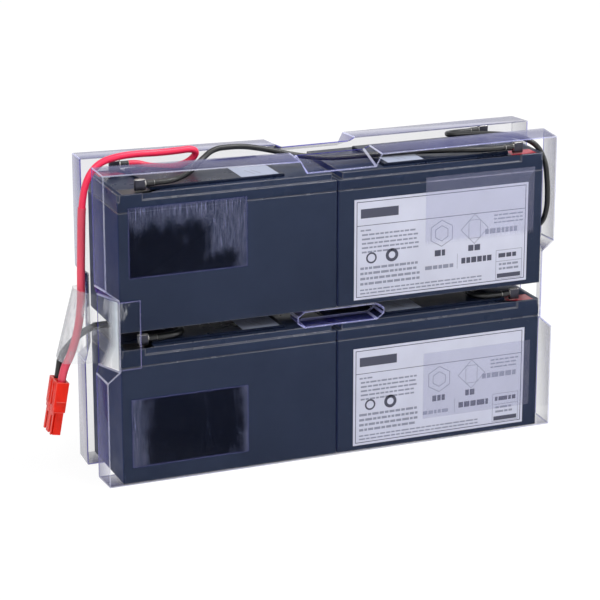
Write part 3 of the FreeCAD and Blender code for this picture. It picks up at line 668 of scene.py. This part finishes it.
# ---------------------------------------------------------------- tape round the leads
def tape_material():
    """Clear tape: creased and hazy where it hangs free, with a whitish painted highlight where it
    bridges the shell's waist.
    """
    m = Nodes("clear_tape")
    m.set(Roughness=0.16, IOR=1.48, Specular_IOR_Level=1.0)
    m.material.surface_render_method = "BLENDED"
    crease = m.noise(160.0, 4.0, 0.6, (1, 1, 0.35))
    facing = m.facing()

    # painted highlight: a whitish band where it bridges the slope of the front shell's waist
    reach = m.span(m.axis("Z"), 0.0800, 0.0960, -0.0150, -0.0235)
    past = m.math("SUBTRACT", m.axis("Y"), reach)
    near = m.span(m.axis("Y"), -0.0338, -0.0325, 0, 1)
    painted_streak = m.math("MULTIPLY", near, m.span(past, -0.0075, 0.0005, 1, 0))

    # its cut edges on the front face and the slope
    ends = m.math("MAXIMUM", m.span(m.axis("Z"), 0.1252, 0.1256, 0, 1),
                  m.span(m.axis("Z"), 0.0802, 0.0806, 1, 0))
    ends = m.math("MULTIPLY", ends, m.span(m.axis("Y"), -0.024, -0.020, 1, 0))
    border = m.math("MAXIMUM", ends, m.span(m.axis("X"), -0.1385, -0.1381, 0, 1))

    slant = m.math("MULTIPLY", m.math("POWER", facing, 3.0), 0.7)
    # round the leads the tape's whitish cover is raised, lightening the sleeve under it: painted
    # sheen of the tape
    cover = m.math("ADD", m.span(m.axis("X"), -0.166, -0.161, 0.16, 0.0), slant)
    cover = m.math("ADD", cover, m.span(crease, 0.56, 0.70, 0.0, 0.22))
    cover = m.math("ADD", cover, m.math("MULTIPLY", painted_streak, 0.75))
    cover = m.math("ADD", cover, m.math("MULTIPLY", border, 0.3))
    m.link(m.math("MINIMUM", cover, 0.95), m.shader.inputs["Alpha"])

    film = m.mix(m.span(facing, 0.35, 0.75, 0, 1), srgb(214, 216, 224), srgb(164, 166, 176))
    film = m.mix(border, film, srgb(120, 116, 190))
    # the whitish tone of the painted highlight
    streak_tone = m.mix(m.span(m.axis("Z"), 0.081, 0.104, 0, 1), srgb(244, 247, 248),
                      srgb(202, 211, 221))
    m.link(m.mix(painted_streak, film, streak_tone), m.shader.inputs["Base Color"])
    m.bump(crease, 0.35, 0.0012)
    return m


def tape_plan(loop_x, loop_near, loop_far):
    """Corners of the strip seen from above, in mm, from the front face to the rear shell."""
    off = 0.275
    return [(-137.7, FACE_Y - off), (-152.2 - off, FACE_Y - off), (-160.4 - 1.2 * off, -13.5),
            (loop_x + 1.5, loop_near), (loop_x, (loop_near + loop_far) / 2), (loop_x + 1.5, loop_far),
            (-160.4 - 1.2 * off, 13.5), (-153.83 - 1.2 * off, 29.4)]


def tape():
    """One crinkled strip: front face, waist, round the leads, back to the rear shell."""
    low, high = tape_plan(MOUTH.x - 0.7, -6.2, 11.5), tape_plan(MOUTH.x + 12.7, 0.2, 14.2)
    bottom, height, thickness = 79.8, 46.2, 0.12
    rows, cuts = 36, (14, 16, 20, 6, 6, 20, 14)
    taut_legs = (0, 1, 5, 6)        # the others, at the leads, are crinkled
    verts, across = [], sum(cuts) + 1
    for r in range(rows + 1):
        level = r / rows
        line = [(a[0] + (b[0] - a[0]) * level, a[1] + (b[1] - a[1]) * level)
                for a, b in zip(low, high)]
        z = bottom + height * level
        for leg, count in enumerate(cuts):
            last = leg == len(cuts) - 1
            for k in range(count + (1 if last else 0)):
                share = k / count
                x = line[leg][0] + (line[leg + 1][0] - line[leg][0]) * share
                y = line[leg][1] + (line[leg + 1][1] - line[leg][1]) * share
                lift = 0.0 if leg in taut_legs else 0.9
                wave = noise.noise(Vector((x * 0.16, y * 0.16, z * 0.10)))
                verts.append((x + lift * wave * 0.6, y + lift * wave, z))
    faces = []
    for r in range(rows):
        for k in range(across - 1):
            a = r * across + k
            faces.append([a, a + 1, a + across + 1, a + across])
    obj = new_object("tape_strip", mesh_of("tape_strip", verts, faces), (tape_material(),))
    film = obj.modifiers.new("film", "SOLIDIFY")
    film.thickness, film.offset = thickness * MM, 0.0
    bake(obj)
    smooth(obj, 60)
    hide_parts("lead_tape")
    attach(obj, "root")
    return obj


strip = tape()


# ---------------------------------------------------------------- print, in mm on its surface
DARK, SOFT = 0, 1           # material slots of a print
LIFT = 0.03                 # of the print off its label


def bar(x0, z0, x1, z1, tone):
    """A filled box, as one shape: its corners and its tone."""
    return [(x0, z0), (x1, z0), (x1, z1), (x0, z1)], tone


def frame_lines(x0, z0, x1, z1, width, tone):
    """A box's outline."""
    return [bar(x0, z0, x1, z0 + width, tone), bar(x0, z1 - width, x1, z1, tone),
            bar(x0, z0 + width, x0 + width, z1 - width, tone),
            bar(x1 - width, z0 + width, x1, z1 - width, tone)]


def ring(x, z, sides, outer, inner, tone, turn=90.0):
    """A polygon's outline, as one quad to a side."""
    places = [math.radians(turn + 360.0 * k / sides) for k in range(sides + 1)]
    near = [(x + inner * math.cos(a), z + inner * math.sin(a)) for a in places]
    far = [(x + outer * math.cos(a), z + outer * math.sin(a)) for a in places]
    return [([near[k], far[k], far[k + 1], near[k + 1]], tone) for k in range(sides)]


def text_bars(x0, x1, top, count, pitch, thick, tone, seed):
    """Lines of text as short bars of uneven length, which say nothing."""
    bars = []
    for row in range(count):
        z = top - row * pitch
        x, word = x0, 0
        while x < x1 - 2.0:
            width = 2.0 + 6.0 * abs(noise.noise(Vector((seed * 3.1 + row * 1.7, word * 0.9, 0.4))))
            end = min(x + width, x1)
            bars.append(bar(x, z - thick, end, z, tone))
            x = end + 0.7
            word += 1
    return bars


def print_on(name, shapes, place):
    """Flat printed shapes; place turns a shape's two coordinates into a point in mm."""
    verts, faces = [], []
    for corners, tone in shapes:
        faces.append(list(range(len(verts), len(verts) + len(corners))))
        verts += [place(*corner) for corner in corners]
    obj = new_object(name, mesh_of(name, verts, faces), (ink, ink_soft))
    for face, (corners, tone) in zip(obj.data.polygons, shapes):
        face.material_index = tone
    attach(obj, "root")


def label_shapes(wide, high, seed):
    """Print of a front label, from its lower left corner."""
    rule = 0.735 * high
    shapes = frame_lines(1.6, 1.6, wide - 1.6, high - 1.6, 0.5, DARK)
    shapes += [bar(2.1, rule, wide - 2.1, rule + 0.4, DARK)]
    shapes += [bar(4.6, rule + 5.2, 32.0, rule + 11.6, DARK)]

    # left column: text, two rings, text
    shapes += text_bars(4.5, 14.0, rule - 2.6, 1, 3.0, 1.1, SOFT, seed)
    shapes += text_bars(5.5, 47.0, rule - 5.6, 5, 3.0, 1.2, SOFT, seed + 1)
    shapes += ring(12.5, rule - 22.5, 24, 3.9, 2.7, DARK)
    shapes += ring(27.5, rule - 22.0, 24, 4.6, 2.4, DARK)
    shapes += text_bars(4.5, 48.0, rule - 28.5, 4, 3.6, 1.7, SOFT, seed + 2)
    shapes += text_bars(4.5, wide - 34.0, 7.0, 2, 2.4, 1.0, SOFT, seed + 3)

    # middle: two plain figures with bold words below them
    for outer in (9.4, 5.6):
        shapes += ring(64.0, rule - 11.0, 6, outer, outer - 0.6, SOFT)
    shapes += ring(88.5, rule - 10.5, 4, 10.5, 9.9, SOFT)
    shapes += frame_lines(84.0, rule - 17.0, 93.0, rule - 4.0, 0.4, SOFT)
    for x0, x1, fall in ((59.0, 68.5, 22.5), (84.0, 93.0, 21.5)):
        shapes += text_bars(x0, x1, rule - fall, 1, 1.0, 4.2, DARK, seed + x0)
    shapes += text_bars(52.0, 73.0, rule - 33.0, 1, 1.0, 2.6, SOFT, seed + 7)
    shapes += [bar(75.8, rule - 37.0, 76.1, rule - 26.5, SOFT)]
    shapes += text_bars(79.0, 104.0, rule - 30.0, 1, 1.0, 4.0, DARK, seed + 8)

    # right column: text, and a framed block in the corner
    shapes += text_bars(wide - 32.0, wide - 6.0, rule - 11.5, 1, 1.0, 3.6, SOFT, seed + 9)
    shapes += text_bars(wide - 25.5, wide - 3.5, rule - 2.0, 3, 2.6, 1.0, SOFT, seed + 4)
    x0, x1, z1 = wide - 23.5, wide - 3.6, 23.4
    shapes += frame_lines(x0, 2.6, x1, z1, 0.35, SOFT)
    shapes += [bar(x0, z1 - 8.2, x1, z1 - 7.85, SOFT)]
    shapes += text_bars(x0 + 2.0, x1 - 2.0, z1 - 2.4, 1, 3.0, 3.0, DARK, seed + 5)
    shapes += text_bars(x0 + 2.5, x1 - 2.5, z1 - 9.5, 2, 3.1, 1.5, SOFT, seed + 6)
    shapes += [bar(x0 + 1.2, 3.6, x1 - 1.0, 6.6, DARK)]
    return shapes


for row, seed in (("upper", 1.0), ("lower", 11.0)):
    low, high = ([c / MM for c in corner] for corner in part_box(f"front_label_{row}"))
    print_on(f"label_print_{row}", label_shapes(high[0] - low[0], high[2] - low[2], seed),
             lambda x, z: (low[0] + x, low[1] - LIFT, low[2] + z))
for spot in COLUMNS:
    low, high = ([c / MM for c in corner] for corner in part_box(f"lid_sticker_{spot}"))
    strokes = [([(x, 5.0), (x + 0.8, 5.0), (x - 2.6, 15.5), (x - 3.3, 15.5)], SOFT)
               for x in (10.5, 15.0)]
    print_on(f"sticker_print_{spot}", strokes,
             lambda x, y: (low[0] + x, low[1] + y, high[2] + LIFT))


# ---------------------------------------------------------------- floor, lights and camera
def stage_material():
    """White to the eye and to glossy or clear pieces, pale to the lamps."""
    m = Nodes("studio_floor")
    m.set(Base_Color=(0.86, 0.86, 0.87, 1.0), Roughness=0.9)
    glow = m.add("ShaderNodeEmission")
    glow.inputs["Color"].default_value = (1, 1, 1, 1)
    glow.inputs["Strength"].default_value = 1.08
    path = m.add("ShaderNodeLightPath")
    seen = m.math("MAXIMUM", path.outputs["Is Camera Ray"], path.outputs["Is Glossy Ray"])
    seen = m.math("MAXIMUM", seen, path.outputs["Is Transmission Ray"])
    mix = m.add("ShaderNodeMixShader")
    m.link(m.math("MULTIPLY", seen, 0.85), mix.inputs[0])
    m.link(m.shader.outputs[0], mix.inputs[1])
    m.link(glow.outputs[0], mix.inputs[2])
    m.link(mix.outputs[0], m.tree.nodes["Material Output"].inputs["Surface"])
    return m


HALF_FLOOR, FLOOR_Z = 6000.0, -0.05
corners = [(x * HALF_FLOOR, y * HALF_FLOOR, FLOOR_Z) for x, y in ((-1, -1), (1, -1), (1, 1), (-1, 1))]
floor = new_object("floor", mesh_of("floor", corners, [[0, 1, 2, 3]]), (stage_material(),))

# the sky: white to the eye and to glossy or clear pieces, dimmer as a lamp
SKY_LIGHT, SKY_SEEN = 0.42, 1.0
world = bpy.data.worlds.new("studio")
world.use_nodes = True
bpy.context.scene.world = world
tree = world.node_tree
sky = tree.nodes["Background"]
sky.inputs["Color"].default_value = (1, 1, 1, 1)
path = tree.nodes.new("ShaderNodeLightPath")
level = tree.nodes.new("ShaderNodeMapRange")
level.inputs["To Min"].default_value = SKY_LIGHT
level.inputs["To Max"].default_value = SKY_SEEN
seen = path.outputs["Is Camera Ray"]
for ray in ("Is Glossy Ray", "Is Transmission Ray"):
    either = tree.nodes.new("ShaderNodeMath")
    either.operation = "MAXIMUM"
    tree.links.new(seen, either.inputs[0])
    tree.links.new(path.outputs[ray], either.inputs[1])
    seen = either.outputs[0]
tree.links.new(seen, level.inputs["Value"])
tree.links.new(level.outputs["Result"], sky.inputs["Strength"])


def softbox(name, where, target, width, height, power):
    """A rectangular lamp aimed at a target, which the camera doesn't see."""
    lamp = bpy.data.lights.new(name, "AREA")
    lamp.shape = "RECTANGLE"
    lamp.size, lamp.size_y = width, height
    lamp.energy = power
    obj = bpy.data.objects.new(name, lamp)
    bpy.context.scene.collection.objects.link(obj)
    obj.location = where
    obj.rotation_euler = (Vector(target) - Vector(where)).to_track_quat("-Z", "Y").to_euler()
    obj.visible_camera = False


softbox("key", (-1.1, -1.2, 1.5), (0, 0, 0.1), 1.0, 1.0, 15.0)
softbox("fill", (1.4, -1.1, 0.9), (0, 0, 0.1), 1.2, 1.2, 12.0)
softbox("top", (0.65, -0.45, 1.75), (0, 0, 0.15), 0.9, 0.6, 20.0)
softbox("backdrop", (0.75, 1.8, 0.75), (0, 0, 0.15), 2.4, 1.2, 3.0)

scene = bpy.context.scene
scene.view_settings.view_transform = "Standard"
lens = bpy.data.cameras.new("camera")
lens.sensor_width = 36.0
lens.lens = 139.88
lens.shift_y = -1 / 12
camera = bpy.data.objects.new("camera", lens)
camera.location = (-0.5788, -1.3927, 0.5746)
camera.rotation_euler = (math.radians(73.765), 0.0, math.radians(-22.085))
scene.collection.objects.link(camera)
scene.camera = camera
